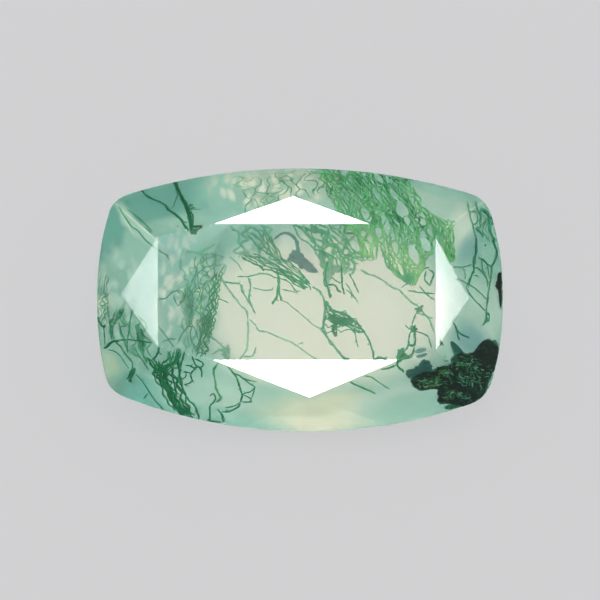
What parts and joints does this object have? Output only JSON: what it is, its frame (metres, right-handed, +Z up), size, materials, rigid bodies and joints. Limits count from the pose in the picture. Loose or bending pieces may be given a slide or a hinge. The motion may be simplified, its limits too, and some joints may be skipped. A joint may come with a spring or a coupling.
{
  "type": "faceted moss agate",
  "caption": "Faceted cushion-cut moss agate gemstone with a flat table, bevelled crown, thin girdle and keeled pavilion, lying loose on its lower flank.",
  "frame": {"origin": "on the resting surface, under the middle of the stone's box", "axes": "+X along the stone's length, +Z up; the table leans 34 degrees forward from +Z towards -Y, and +Y is behind"},
  "size_m": [0.017, 0.0092, 0.0073],
  "materials": {
    "agate": "polished, translucent pale green with dark green moss-like inclusions"
  },
  "bodies": {
    "root": {"agate": "agate"}
  },
  "joints": []
}
